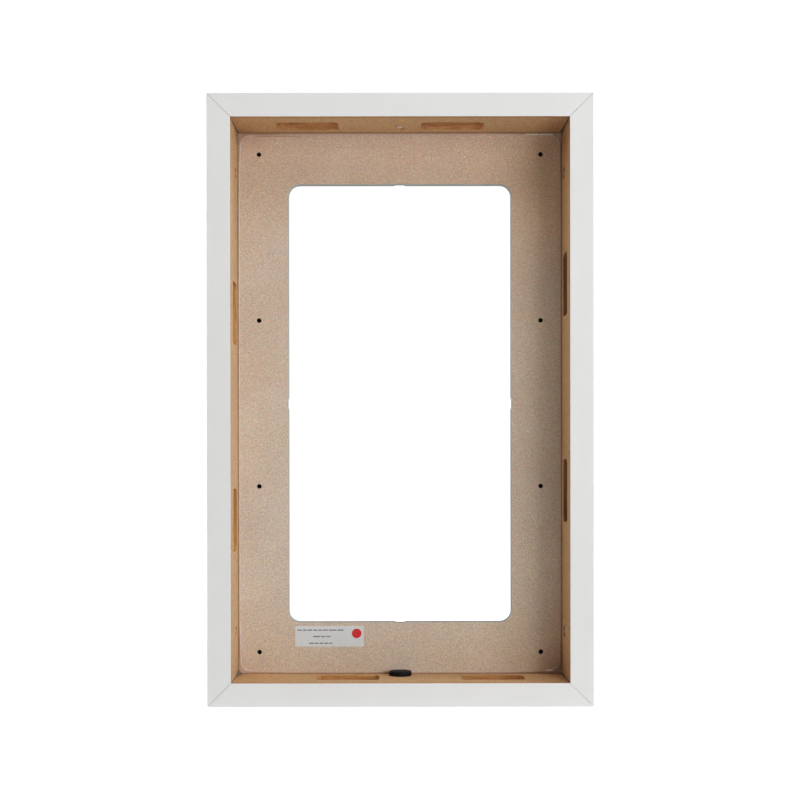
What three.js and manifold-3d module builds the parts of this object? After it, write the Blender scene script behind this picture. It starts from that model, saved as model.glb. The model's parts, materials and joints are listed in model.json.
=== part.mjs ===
// A white mitred box frame that carries a flush-mounting device on the face of a wall.
// Four boards with a white facing stand round a back panel with a large cut-out. The panel is
// screwed to the wall through eight pilot holes, which stop just short of the wall side, and the
// device's swing-out clamps turn into the pockets that are routed in the boards. A rubber plug
// closes the cable hole in the lower board.
//
// Millimetres. X runs left to right, Y from the front to the wall, and Z up.
// The origin is under the middle of the frame, on the surface that it stands on.
import * as THREE from "three";
import { mergeVertices } from "three/addons/utils/BufferGeometryUtils.js";
import Module from "manifold-3d";

// ---- Driving dimensions ----
const WIDTH = 412;
const HEIGHT = 654;
const DEPTH = 84;
const BOARD = 25; // thickness of a board with its facing
const FACING = 1; // thickness of the white facing
const SEAM = 0.05; // glue line between a facing or a label and what it lies on
const MITRE_GAP = 0.3; // open width of a mitre joint

// ---- Back panel ----
const PLATE = 8; // thickness of the part that sits in the rebate
const STAND = 1.4; // how far the panel stands into the opening in front of the plate
const FIELD = 0.6; // height of the raised middle over that
const REBATE = 8; // width of the rebate in each board
const PLATE_PLAY = 0.5; // room round the plate in the rebate
const FIELD_REVEAL = 3; // from a board's inner face to the raised middle
const FIELD_RADIUS = 12;
const CUTOUT_WIDTH = 248;
const CUTOUT_HEIGHT = 488;
const CUTOUT_RADIUS = 12.5;
const NOTCH_LENGTH = 12; // centre mark in each side of the cut-out
const NOTCH_DEPTH = 1.2;
const HOLE_RADIUS = 2.25;
const HOLE_SKIN = 1; // board that a pilot hole leaves at the wall side, for the screw to pierce
const HOLE_COLUMN = 157; // from the middle to a column of holes
const HOLE_PITCH = 185;
const HOLE_ROWS = 4;

// ---- Pockets for the clamps ----
const POCKET_LENGTH = 68;
const POCKET_WIDTH = 34;
const POCKET_DEPTH = 10;
const POCKET_RADIUS = 5;
const POCKET_SETBACK = 45; // from the front face to the middle of a pocket
const POCKETS_SHORT_BOARD = [-57.5, 101.5]; // from the board's middle, along the board
const POCKETS_LONG_BOARD = [-97, 129];

// ---- Board screws, each in a shallow counterbore ----
const SCREW_SETBACK = 54;
const SCREWS_LONG_BOARD = [-252.5, 252.5];
const COUNTERBORE_RADIUS = 6;
const COUNTERBORE_DEPTH = 3;
const HEAD_RADIUS = 3;
const HEAD_HEIGHT = 2;
const SHANK_RADIUS = 1.5;
const SHANK_LENGTH = 11;
const CLEARANCE = 0.3; // round a screw, a dowel, the plug and the glue

// ---- Dowels, two across each mitre ----
const DOWEL_RADIUS = 3;
const DOWEL_LENGTH = 20;
const DOWEL_SETBACKS = { front: 18, rear: 58 };

// ---- Cable plug ----
const PLUG_SETBACK = 61.5;
const PLUG_FLANGE_RADIUS = 12.5;
const PLUG_FLANGE_HEIGHT = 5;
const PLUG_STEM_RADIUS = 8;
const PLUG_STEM_LENGTH = 20;
const PLUG_WALL = 2;

// ---- Label, and glue in the rear corners ----
const LABEL = { width: 76.5, height: 23, thickness: 0.4, x: -79, z: 67 };
const GLUE_SMALL = { leg: 3, length: 18 };
const GLUE_LARGE = { leg: 7, length: 38 };
const GLUE_TIP = 0.15; // share of its section that a fillet keeps at its front end

// ---- Levels worked out from the dimensions above ----
const FRONT_Y = -DEPTH / 2;
const WALL_Y = DEPTH / 2;
const SHOULDER_Y = WALL_Y - PLATE;
const FIELD_Y = SHOULDER_Y - STAND - FIELD;
const MIDDLE_Z = HEIGHT / 2;
const X_AXIS = new THREE.Vector3(1, 0, 0);
const Y_AXIS = new THREE.Vector3(0, 1, 0);
const Z_AXIS = new THREE.Vector3(0, 0, 1);

const wasm = await Module();
wasm.setup();

// ---- Materials ----
const finish = (color, roughness, metalness = 0) =>
  new THREE.MeshStandardMaterial({ color, roughness, metalness });
const mdf = finish(0xb98e63, 0.85);
const panelFace = finish(0xb89a82, 0.9);
const whiteFoil = finish(0xe2e2e1, 0.45);
const glue = finish(0x8c7a68, 0.5);
const steel = finish(0xa9a9a6, 0.35, 1);
const beech = finish(0xcaa878, 0.8);
const rubber = finish(0x17181a, 0.7);
const paper = finish(0xcfd1d2, 0.6);

// ---- Solids ----
function solidOf(geometry) {
  const bare = geometry.clone().deleteAttribute("normal").deleteAttribute("uv");
  const merged = mergeVertices(bare, 1e-4);
  return new wasm.Manifold(
    new wasm.Mesh({
      numProp: 3,
      vertProperties: new Float32Array(merged.attributes.position.array),
      triVerts: new Uint32Array(merged.index.array),
    }),
  );
}

function geometryOf(solid) {
  const { vertProperties, triVerts } = solid.getMesh();
  return new THREE.BufferGeometry()
    .setAttribute("position", new THREE.BufferAttribute(vertProperties, 3))
    .setIndex(new THREE.BufferAttribute(triVerts, 1));
}

const without = (solid, cutters) => cutters.reduce((rest, cutter) => rest.subtract(cutter), solid);

function namedMesh(name, geometry, material) {
  const mesh = new THREE.Mesh(geometry, material);
  mesh.name = name;
  return mesh;
}

// An outline in (x, z), extruded from the plane y = back towards the front.
function slab(outline, back, thickness, steps = 1) {
  const geometry = new THREE.ExtrudeGeometry(outline, {
    depth: thickness,
    steps,
    bevelEnabled: false,
    curveSegments: 6,
  });
  const toFrame = new THREE.Matrix4().makeBasis(X_AXIS, Z_AXIS, Y_AXIS.clone().negate());
  return geometry.applyMatrix4(toFrame).translate(0, back, 0);
}

// An outline in (y, z), extruded along x and centred on x = 0.
function bar(outline, length) {
  const geometry = new THREE.ExtrudeGeometry(outline, { depth: length, bevelEnabled: false });
  const toFrame = new THREE.Matrix4().makeBasis(Y_AXIS, Z_AXIS, X_AXIS);
  return geometry.applyMatrix4(toFrame).translate(-length / 2, 0, 0);
}

const polygon = (points) => new THREE.Shape(points.map(([u, v]) => new THREE.Vector2(u, v)));

function roundedRectangle(width, height, radius) {
  const [x, y] = [width / 2, height / 2];
  const quarter = Math.PI / 2;
  return new THREE.Shape()
    .moveTo(-x + radius, -y)
    .lineTo(x - radius, -y)
    .absarc(x - radius, -y + radius, radius, -quarter, 0)
    .lineTo(x, y - radius)
    .absarc(x - radius, y - radius, radius, 0, quarter)
    .lineTo(-x + radius, y)
    .absarc(-x + radius, y - radius, radius, quarter, 2 * quarter)
    .lineTo(-x, -y + radius)
    .absarc(-x + radius, -y + radius, radius, 2 * quarter, 3 * quarter);
}

const cylinderAlongY = (radius, length) => new THREE.CylinderGeometry(radius, radius, length, 16);

// A profile of [radius, height] points, turned about the z axis.
function turned(profile, segments) {
  const points = profile.map(([radius, height]) => new THREE.Vector2(radius, height));
  return new THREE.LatheGeometry(points, segments).rotateX(Math.PI / 2);
}

// ---- Boards ----
// A board is made lying along x with its outer face at z = 0 and its inner face at z = BOARD.
// Its right-hand mitre meets the next board round the frame, and holds the dowels and the glue.
function mitreOutline(length) {
  const [end, gap] = [length / 2, MITRE_GAP / Math.SQRT2];
  return polygon([
    [-end + gap, 0],
    [end - gap, 0],
    [end - BOARD - gap, BOARD],
    [-end + BOARD + gap, BOARD],
  ]);
}

const mitred = (section, length) =>
  solidOf(bar(section, length)).intersect(solidOf(slab(mitreOutline(length), WALL_Y, DEPTH)));

function coreSection() {
  const [front, outer] = [FRONT_Y + FACING + SEAM, FACING + SEAM];
  return polygon([
    [front, outer],
    [WALL_Y, outer],
    [WALL_Y, BOARD - REBATE],
    [SHOULDER_Y, BOARD - REBATE],
    [SHOULDER_Y, BOARD],
    [front, BOARD],
  ]);
}

function facingSection() {
  return polygon([
    [FRONT_Y, 0],
    [WALL_Y, 0],
    [WALL_Y, FACING],
    [FRONT_Y + FACING, FACING],
    [FRONT_Y + FACING, BOARD],
    [FRONT_Y, BOARD],
  ]);
}

function pocketCutter(x) {
  const outline = roundedRectangle(POCKET_LENGTH, POCKET_WIDTH, POCKET_RADIUS);
  const block = new THREE.ExtrudeGeometry(outline, {
    depth: POCKET_DEPTH + 1,
    bevelEnabled: false,
    curveSegments: 4,
  });
  return solidOf(block.translate(x, FRONT_Y + POCKET_SETBACK, BOARD - POCKET_DEPTH));
}

function screwCutter(x) {
  const floor = BOARD - COUNTERBORE_DEPTH;
  const bore = turned(
    [
      [0, floor - SHANK_LENGTH - CLEARANCE],
      [SHANK_RADIUS + CLEARANCE, floor - SHANK_LENGTH - CLEARANCE],
      [SHANK_RADIUS + CLEARANCE, floor],
      [COUNTERBORE_RADIUS, floor],
      [COUNTERBORE_RADIUS, BOARD + 1],
      [0, BOARD + 1],
    ],
    24,
  );
  return solidOf(bore.translate(x, FRONT_Y + SCREW_SETBACK, 0));
}

function plugCutter() {
  const radius = PLUG_STEM_RADIUS + CLEARANCE;
  const bore = new THREE.CylinderGeometry(radius, radius, BOARD + 2, 32).rotateX(Math.PI / 2);
  return solidOf(bore.translate(0, FRONT_Y + PLUG_SETBACK, BOARD / 2));
}

// A cylinder across a mitre: side is 1 at the board's right-hand end and -1 at its left-hand end.
function acrossMitre(length, side, setback, radius, reach) {
  return cylinderAlongY(radius, reach)
    .rotateX(Math.PI / 2)
    .rotateY((side * Math.PI) / 4)
    .translate(side * (length / 2 - BOARD / 2), FRONT_Y + setback, BOARD / 2);
}

function dowelCutters(length) {
  return [-1, 1].flatMap((side) =>
    Object.values(DOWEL_SETBACKS).map((setback) =>
      solidOf(
        acrossMitre(
          length,
          side,
          setback,
          DOWEL_RADIUS + CLEARANCE,
          DOWEL_LENGTH + 2 * CLEARANCE,
        ),
      ),
    ),
  );
}

function boardScrew(x) {
  const seat = BOARD - COUNTERBORE_DEPTH + SEAM;
  const screw = turned(
    [
      [0, seat - SHANK_LENGTH],
      [SHANK_RADIUS / 2, seat - SHANK_LENGTH],
      [SHANK_RADIUS, seat - SHANK_LENGTH + 2],
      [SHANK_RADIUS, seat],
      [HEAD_RADIUS, seat],
      [HEAD_RADIUS, seat + HEAD_HEIGHT / 2],
      [HEAD_RADIUS * 0.7, seat + HEAD_HEIGHT],
      [0, seat + HEAD_HEIGHT],
    ],
    16,
  );
  return screw.translate(x, FRONT_Y + SCREW_SETBACK, 0);
}

// A fillet of glue where two boards meet the panel, thinning towards the front.
function glueFillet(length, { leg, length: rise }) {
  const outline = new THREE.Shape()
    .moveTo(0, 0)
    .lineTo(0, leg)
    .quadraticCurveTo(-leg * 0.3, leg * 0.3, -leg, 0);
  const geometry = slab(outline, 0, rise, 5);
  const place = geometry.attributes.position;
  for (let i = 0; i < place.count; i++) {
    const share = -place.getY(i) / rise;
    const size = 1 - share * (1 - GLUE_TIP);
    place.setX(i, place.getX(i) * size);
    place.setZ(i, place.getZ(i) * size);
  }
  const corner = length / 2 - BOARD - CLEARANCE;
  return geometry.translate(corner, FIELD_Y - CLEARANCE, BOARD + CLEARANCE);
}

// ---- The four sides of the frame ----
// Each side is turned about the frame's middle, and its right-hand end makes one corner.
const SIDES = [
  { name: "bottom", turn: 0, length: WIDTH, corner: "bottom_right" },
  { name: "left", turn: Math.PI / 2, length: HEIGHT, corner: "bottom_left" },
  { name: "top", turn: Math.PI, length: WIDTH, corner: "top_left" },
  { name: "right", turn: -Math.PI / 2, length: HEIGHT, corner: "top_right" },
];

function screwPlaces({ name, length }) {
  if (length === HEIGHT) {
    return SCREWS_LONG_BOARD;
  }
  return name === "top" ? [0] : [];
}

function screwName(side, x) {
  if (x === 0) {
    return `board_screw_${side.name}`;
  }
  const height = side.name === "left" ? -x : x;
  return `board_screw_${side.name}_${height > 0 ? "upper" : "lower"}`;
}

function side(place) {
  const { name, turn, length, corner } = place;
  const pockets = length === HEIGHT ? POCKETS_LONG_BOARD : POCKETS_SHORT_BOARD;
  const cableHole = name === "bottom" ? [plugCutter()] : [];
  const screws = screwPlaces(place);
  const core = without(mitred(coreSection(), length), [
    ...pockets.map(pocketCutter),
    ...screws.map(screwCutter),
    ...dowelCutters(length),
    ...cableHole,
  ]);
  const skin = without(mitred(facingSection(), length), cableHole);

  const laid = new THREE.Group();
  const across = length === HEIGHT ? WIDTH : HEIGHT;
  laid.position.z = -across / 2;
  laid.add(namedMesh(`rail_${name}`, geometryOf(core), mdf));
  laid.add(namedMesh(`facing_${name}`, geometryOf(skin), whiteFoil));
  for (const x of screws) {
    laid.add(namedMesh(screwName(place, x), boardScrew(x), steel));
  }
  for (const [end, setback] of Object.entries(DOWEL_SETBACKS)) {
    const dowel = acrossMitre(length, 1, setback, DOWEL_RADIUS, DOWEL_LENGTH);
    laid.add(namedMesh(`dowel_${corner}_${end}`, dowel, beech));
  }
  const fillet = corner === "bottom_left" ? GLUE_LARGE : GLUE_SMALL;
  laid.add(namedMesh(`glue_${corner}`, glueFillet(length, fillet), glue));

  const turnedSide = new THREE.Group();
  turnedSide.position.z = MIDDLE_Z;
  turnedSide.rotation.y = turn;
  turnedSide.add(laid);
  return turnedSide;
}

// ---- Back panel ----
function cutoutOutline() {
  const outline = roundedRectangle(CUTOUT_WIDTH, CUTOUT_HEIGHT, CUTOUT_RADIUS);
  return solidOf(slab(outline, WALL_Y + 1, WALL_Y - FIELD_Y + 2));
}

function notchCutters() {
  const across = { width: CUTOUT_WIDTH + 2 * NOTCH_DEPTH, height: NOTCH_LENGTH };
  const upright = { width: NOTCH_LENGTH, height: CUTOUT_HEIGHT + 2 * NOTCH_DEPTH };
  return [across, upright].map(({ width, height }) =>
    solidOf(slab(roundedRectangle(width, height, NOTCH_DEPTH), WALL_Y + 1, WALL_Y - FIELD_Y + 2)),
  );
}

function pilotHoleCutters() {
  const rows = Array.from({ length: HOLE_ROWS }, (_, i) => (i - (HOLE_ROWS - 1) / 2) * HOLE_PITCH);
  const [mouth, floor] = [FIELD_Y - 1, WALL_Y - HOLE_SKIN];
  return rows.flatMap((z) =>
    [-HOLE_COLUMN, HOLE_COLUMN].map((x) =>
      solidOf(cylinderAlongY(HOLE_RADIUS, floor - mouth).translate(x, (floor + mouth) / 2, z)),
    ),
  );
}

function backPanel() {
  const plateWidth = WIDTH - 2 * (BOARD - REBATE + PLATE_PLAY);
  const plateHeight = HEIGHT - 2 * (BOARD - REBATE + PLATE_PLAY);
  const plate = slab(roundedRectangle(plateWidth, plateHeight, 1), WALL_Y, PLATE - SEAM);
  const openWidth = WIDTH - 2 * (BOARD + CLEARANCE);
  const openHeight = HEIGHT - 2 * (BOARD + CLEARANCE);
  const stand = slab(roundedRectangle(openWidth, openHeight, 1), WALL_Y - 1, PLATE + STAND - 1);
  const fieldWidth = WIDTH - 2 * (BOARD + FIELD_REVEAL);
  const fieldHeight = HEIGHT - 2 * (BOARD + FIELD_REVEAL);
  const raised = roundedRectangle(fieldWidth, fieldHeight, FIELD_RADIUS);
  const field = slab(raised, WALL_Y - 1, WALL_Y - FIELD_Y - 1);
  const blank = solidOf(plate).add(solidOf(stand)).add(solidOf(field));
  const cutters = [cutoutOutline(), ...notchCutters(), ...pilotHoleCutters()];
  return geometryOf(without(blank, cutters)).translate(0, 0, MIDDLE_Z);
}

// ---- Cable plug and label ----
function cablePlug() {
  const top = PLUG_FLANGE_HEIGHT;
  const plug = turned(
    [
      [0, -PLUG_WALL],
      [PLUG_STEM_RADIUS - PLUG_WALL, -PLUG_WALL],
      [PLUG_STEM_RADIUS - PLUG_WALL, -PLUG_STEM_LENGTH],
      [PLUG_STEM_RADIUS - 1, -PLUG_STEM_LENGTH],
      [PLUG_STEM_RADIUS, 1 - PLUG_STEM_LENGTH],
      [PLUG_STEM_RADIUS, 0],
      [PLUG_FLANGE_RADIUS, 0],
      [PLUG_FLANGE_RADIUS, top - 2],
      [PLUG_FLANGE_RADIUS - 0.6, top - 0.6],
      [PLUG_FLANGE_RADIUS - 2, top],
      [0, top],
    ],
    32,
  );
  return plug.translate(0, FRONT_Y + PLUG_SETBACK, BOARD + SEAM);
}

function label() {
  const { width, height, thickness, x, z } = LABEL;
  return slab(roundedRectangle(width, height, 1), FIELD_Y - SEAM, thickness).translate(x, 0, z);
}

const frame = new THREE.Group();
frame.add(...SIDES.map(side));
frame.add(namedMesh("back_panel", backPanel(), panelFace));
frame.add(namedMesh("cable_plug", cablePlug(), rubber));
frame.add(namedMesh("label", label(), paper));

export default frame;
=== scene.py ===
"""Looks of a white mitred box frame with raw fibreboard inside and a cut-out back panel.

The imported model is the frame. Every visible node gets a detailed mesh in its place, with a
procedural material. Metres throughout, in the model's own frame: X to the right, Y from the
front face to the wall, Z up, and the origin under the middle of the frame.
"""

import json
import math
import random

import bmesh
import bpy
from mathutils import Matrix, Vector, noise


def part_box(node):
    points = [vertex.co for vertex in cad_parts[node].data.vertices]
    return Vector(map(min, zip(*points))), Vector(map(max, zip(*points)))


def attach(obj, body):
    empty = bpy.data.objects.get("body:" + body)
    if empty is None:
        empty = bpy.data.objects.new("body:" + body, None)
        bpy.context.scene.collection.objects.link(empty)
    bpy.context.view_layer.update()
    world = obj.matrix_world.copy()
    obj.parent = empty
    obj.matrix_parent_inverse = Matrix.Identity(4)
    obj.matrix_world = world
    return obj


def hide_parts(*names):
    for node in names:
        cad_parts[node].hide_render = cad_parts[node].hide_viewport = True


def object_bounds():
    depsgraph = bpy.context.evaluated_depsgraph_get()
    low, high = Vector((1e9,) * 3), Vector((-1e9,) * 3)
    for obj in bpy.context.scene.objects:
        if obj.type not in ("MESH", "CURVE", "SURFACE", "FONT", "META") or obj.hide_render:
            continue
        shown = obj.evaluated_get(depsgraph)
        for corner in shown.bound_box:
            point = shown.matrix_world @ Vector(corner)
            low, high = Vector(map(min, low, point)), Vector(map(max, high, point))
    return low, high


MM = 0.001
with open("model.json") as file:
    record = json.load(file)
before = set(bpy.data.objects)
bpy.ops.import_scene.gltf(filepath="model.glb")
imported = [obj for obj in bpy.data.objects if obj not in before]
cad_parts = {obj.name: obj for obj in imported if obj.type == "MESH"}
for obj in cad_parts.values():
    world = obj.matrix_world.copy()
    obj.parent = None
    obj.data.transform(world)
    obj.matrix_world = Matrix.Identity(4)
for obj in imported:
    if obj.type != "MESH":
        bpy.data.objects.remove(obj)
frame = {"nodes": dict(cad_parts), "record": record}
cad_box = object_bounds()

# ---- Sizes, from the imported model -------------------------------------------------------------
LOW, HIGH = cad_box
WIDTH, _, HEIGHT = HIGH - LOW
FRONT_Y, WALL_Y = LOW.y, HIGH.y
MIDDLE_Z = HEIGHT / 2
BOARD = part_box("facing_left")[1].x - LOW.x  # thickness of a board with its facing
PLATE_LOW, PLATE_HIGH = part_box("back_panel")
FIELD_Y = PLATE_LOW.y  # front of the panel's raised middle
POCKETS = [o for o in frame["record"]["physics"]["openings"] if o["name"].startswith("pocket")]

# ---- Sizes of details -------------------------------------------------------------------------
FACING = 1 * MM
MITRE_GAP = 0.3 * MM  # open width of a mitre joint
BOARD_PARTS = 11  # lengthwise parts of a board: an odd number keeps their seams off the middle holes
PLATE = 8 * MM  # the panel's thickness without its raised middle
SHOULDER_Y = WALL_Y - PLATE
PANEL_GAP = 0.15 * MM  # from a board's inner face to the panel
FIELD_REVEAL = 1.5 * MM  # from a board's inner face to the panel's raised middle
FIELD_RADIUS = 11 * MM
FIELD_LEAN = 1.6 * MM  # how much further it stands off in the corners
FIELD_STEP = 0.2 * MM  # how far it stands up from the strip round it
LEAN_STRETCH = 60 * MM  # length of side over which it comes to stand further off
CUTOUT = (248 * MM, 488 * MM, 12.5 * MM)  # width, height, corner radius
NOTCH = (12 * MM, 0.9 * MM)  # length and depth of the mark in each side of the cut-out
NOTCH_RAMP = 0.8 * MM
HOLE_RADIUS = 2.25 * MM
HOLE_COLUMNS = (-157 * MM, 157 * MM)
HOLE_PITCH = 185 * MM
HOLE_ROWS = [MIDDLE_Z + (i - 1.5) * HOLE_PITCH for i in range(4)]
HOLE_FLOOR_Y = WALL_Y - 1 * MM
POCKET_INSET = 2 * MM  # how far a stated opening lies inside the pocket it describes
POCKET_DEPTH = 10 * MM
POCKET_RADIUS = 5 * MM
COUNTERBORE = (6 * MM, 3 * MM)  # radius and depth
SHANK_HOLE_RADIUS = 1.8 * MM
SHANK_HOLE_END = 8 * MM  # above the board's outer face
PLUG_HOLE_RADIUS = 8.3 * MM
REBATE = 8 * MM  # width of the step in a board that takes the panel's plate
OVERCUT = 1 * MM  # how far a cutter stands past the face that it cuts
LABEL_THICKNESS, INK_THICKNESS = 0.18 * MM, 0.02 * MM

SIDES = {  # turn about Y from the bottom board, length of the board, corner at its right-hand end
    "bottom": (0, WIDTH, "bottom_right"),
    "left": (math.pi / 2, HEIGHT, "bottom_left"),
    "top": (math.pi, WIDTH, "top_left"),
    "right": (-math.pi / 2, HEIGHT, "top_right"),
}
GRAIN = "grain"  # attribute that holds a point's place in its own board, so grain runs along it
THICKNESS = "thickness"  # attribute of a glue fillet: 1 in its middle and 0 where it runs out


# ---- Outlines and meshes ----------------------------------------------------------------------
def rounded_polygon(corners, steps=6):
    """Points round a polygon. Each corner is (u, v, radius), and a radius above 0 becomes an arc."""
    points = []
    for i, (u, v, radius) in enumerate(corners):
        corner = Vector((u, v))
        if radius == 0:
            points.append(corner)
            continue
        before = (Vector(corners[i - 1][:2]) - corner).normalized()
        after = (Vector(corners[(i + 1) % len(corners)][:2]) - corner).normalized()
        half = before.angle(after) / 2
        centre = corner + (before + after).normalized() * radius / math.sin(half)
        start = corner + before * radius / math.tan(half) - centre
        end = corner + after * radius / math.tan(half) - centre
        points += [centre + start.slerp(end, step / steps) * radius for step in range(steps + 1)]
    return points


def rectangle(width, height, radius, notch=(0, 0), lean=0.0, marked=False, steps=6):
    """A rounded rectangle's points, anticlockwise. A marked one has a notch (length, depth) in each
    side's middle, and its sides lean in by lean over the last stretch before each corner."""
    length, depth = notch
    corners = []
    for quarter in range(4):
        out, along = (width / 2, height / 2) if quarter % 2 == 0 else (height / 2, width / 2)
        turn = Matrix.Rotation(quarter * math.pi / 2, 2)
        stations = [(LEAN_STRETCH - along, 0), (-length / 2, 0), (NOTCH_RAMP - length / 2, depth)]
        stations += [(length / 2 - NOTCH_RAMP, depth), (length / 2, 0), (along - LEAN_STRETCH, 0)]
        for v, extra in stations if marked else []:
            corners.append((*(turn @ Vector((out + extra, v))), 0))
        corners.append((*(turn @ Vector((out - lean, along - lean))), radius))
    return rounded_polygon(corners, steps)


def ring_solid(rings, closed=False, tints=None):
    """A mesh through rings of points that match one to one. It is capped, unless closed joins the
    last ring to the first. tints gives the material index of each band between two rings."""
    mesh = bmesh.new()
    loops = [[mesh.verts.new(point) for point in ring] for ring in rings]
    pairs = list(zip(loops, loops[1:] + loops[:1])) if closed else list(zip(loops, loops[1:]))
    for band, (a, b) in enumerate(pairs):
        for i in range(len(a)):
            face = mesh.faces.new((a[i - 1], a[i], b[i], b[i - 1]))
            face.material_index = tints[band] if tints else 0
    if not closed:
        mesh.faces.new(loops[0])
        mesh.faces.new(loops[-1])
    bmesh.ops.recalc_face_normals(mesh, faces=mesh.faces)
    return mesh


def upright_ring(outline, y):
    """An outline in (x, z) at depth y."""
    return [Vector((u, y, v)) for u, v in outline]


def level_ring(outline, z):
    """An outline in (x, y) at height z."""
    return [Vector((u, v, z)) for u, v in outline]


def circle(radius, count):
    """Points round a circle about (0, 0)."""
    angles = (math.tau * i / count for i in range(count))
    return [Vector((math.cos(a), math.sin(a))) * radius for a in angles]


def lathe(profile, count=48):
    """A solid turned about Z from (radius, height) points, with flat ends."""
    return ring_solid([level_ring(circle(radius, count), height) for radius, height in profile])


def swept_board(section, length):
    """A section in (y, z), swept along x between two mitres. z = 0 is the board's outer face."""
    gap = MITRE_GAP / math.sqrt(2)
    rings = []
    for step in range(BOARD_PARTS + 1):
        share = 2 * step / BOARD_PARTS - 1
        rings.append([Vector((share * (length / 2 - z - gap), y, z)) for y, z in section])
    return ring_solid(rings)


def new_piece(name, mesh, *materials, sharp=35):
    """Turns a bmesh into an object with smooth shading and the given materials."""
    data = bpy.data.meshes.new(name)
    mesh.to_mesh(data)
    mesh.free()
    piece = bpy.data.objects.new(name, data)
    bpy.context.scene.collection.objects.link(piece)
    for material in materials:
        data.materials.append(material)
    smooth(piece, sharp)
    return piece


def smooth(piece, sharp=35):
    """Smooth shading that keeps large faces flat. Edges over sharp degrees stay sharp."""
    piece.data.shade_smooth()
    piece.data.set_sharp_from_angle(angle=math.radians(sharp))
    piece.modifiers.new("flat_faces", "WEIGHTED_NORMAL").keep_sharp = True


def carve(piece, cutters, sharp=35):
    """Cuts the cutters out of piece, and deletes them. A cut face takes its cutter's material."""
    for cutter in cutters:
        modifier = piece.modifiers.new("cut", "BOOLEAN")
        modifier.operation, modifier.solver = "DIFFERENCE", "EXACT"
        modifier.material_mode = "TRANSFER"
        modifier.object = cutter
    evaluated = piece.evaluated_get(bpy.context.evaluated_depsgraph_get())
    data = bpy.data.meshes.new_from_object(evaluated)
    piece.modifiers.clear()
    piece.data = data
    for cutter in cutters:
        bpy.data.objects.remove(cutter)
    smooth(piece, sharp)


def stand_in(piece, slot, *nodes, body="box"):
    """piece rides on body and is shown in place of the CAD nodes. slot is not used."""
    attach(piece, body)
    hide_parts(*nodes)
    return piece


def side_matrix(side):
    """Takes a board that lies along x with its outer face at z = 0 to its place in the frame."""
    turn, length, _ = SIDES[side]
    across = WIDTH if length == HEIGHT else HEIGHT
    middle = Matrix.Translation((0, 0, MIDDLE_Z)) @ Matrix.Rotation(turn, 4, "Y")
    return middle @ Matrix.Translation((0, 0, -across / 2))


def middle_of(low, high):
    """The middle of a box, from its lowest and highest corners."""
    return (Vector(low) + Vector(high)) / 2


# ---- Materials --------------------------------------------------------------------------------
def shade(red, green, blue):
    """A display colour of 0 to 255 as the linear values that a shader takes."""
    linear = []
    for value in (red / 255, green / 255, blue / 255):
        linear.append(value / 12.92 if value < 0.04045 else ((value + 0.055) / 1.055) ** 2.4)
    return tuple(linear)


class Finish:
    """A material's node tree, with one short call for each kind of node."""

    def __init__(self, name, **surface):
        self.material = bpy.data.materials.new(name)
        self.material.use_nodes = True
        self.tree = self.material.node_tree
        self.surface = self.tree.nodes["Principled BSDF"]
        for socket, value in surface.items():
            self.set(socket.replace("_", " ").title().replace("Ior", "IOR"), value)

    def set(self, socket, value):
        self.feed(self.surface.inputs[socket], value)

    def feed(self, socket, value):
        """Gives an input socket a link, if value is another node's output, or else a value."""
        if isinstance(value, bpy.types.NodeSocket):
            self.tree.links.new(value, socket)
        elif isinstance(value, tuple) and socket.type == "RGBA":
            socket.default_value = (*value, 1)
        else:
            socket.default_value = value

    def add(self, kind, output, inputs, **settings):
        """Adds a node, feeds its inputs and returns one of its outputs."""
        node = self.tree.nodes.new("ShaderNode" + kind)
        for key, value in settings.items():
            setattr(node, key, value)
        for key, value in inputs.items():
            self.feed(node.inputs[key], value)
        return node.outputs[output]

    def place(self, stretch=(1, 1, 1), attribute=None):
        """Coordinates in metres, of the object or of a mesh attribute, scaled by stretch."""
        if attribute:
            source = self.add("Attribute", "Vector", {}, attribute_name=attribute)
        else:
            source = self.add("TexCoord", "Object", {})
        return self.add("Mapping", "Vector", {"Vector": source, "Scale": stretch})

    def noise(self, place, scale, detail=2.0, rough=0.5):
        inputs = {"Vector": place, "Scale": scale, "Detail": detail, "Roughness": rough}
        return self.add("TexNoise", 0, inputs)

    def remap(self, value, low, high, to_low=0.0, to_high=1.0):
        """Takes low to to_low and high to to_high, with a soft start and end, and stops there."""
        inputs = {"Value": value, 1: low, 2: high, 3: to_low, 4: to_high}
        return self.add("MapRange", 0, inputs, interpolation_type="SMOOTHSTEP")

    def mix(self, factor, a, b, blend="MIX"):
        return self.add("Mix", 2, {0: factor, 6: a, 7: b}, data_type="RGBA", blend_type=blend)

    def math(self, operation, a, b=0.0):
        return self.add("Math", 0, {0: a, 1: b}, operation=operation)

    def speckle(self, colour, place, scale, amount):
        """Gives each fleck a tint of its own, up to amount brighter or darker, and less so in hue."""
        fleck = self.add("TexVoronoi", "Color", {"Vector": place, "Scale": scale})
        muted = self.mix(0.5, fleck, self.add("RGBToBW", 0, {"Color": fleck}))
        tint = self.add("VectorMath", 0, {0: muted, "Scale": 2.0}, operation="SCALE")
        return self.mix(amount, colour, tint, "MULTIPLY")

    def wash(self, colour, factor, tint):
        """Multiplies colour by tint where factor is 1."""
        return self.mix(factor, colour, tint, "MULTIPLY")

    def axis(self, place, name):
        return self.add("SeparateXYZ", name, {"Vector": place})

    def corners(self, start, end, inner):
        """1 in the two corners on one side of the frame and 0 elsewhere. It grows from start to end
        along X, and from inner to the boards along Z."""
        place = self.place()
        height = self.math("ABSOLUTE", self.math("SUBTRACT", self.axis(place, "Z"), MIDDLE_Z))
        across = self.remap(self.axis(place, "X"), start, end)
        return self.math("MULTIPLY", across, self.remap(height, inner, MIDDLE_Z - BOARD))

    def bump(self, height, distance, strength):
        """Relief that is distance deep between height 0 and 1."""
        inputs = {"Height": height, "Distance": distance, "Strength": strength}
        self.set("Normal", self.add("Bump", "Normal", inputs))


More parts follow.
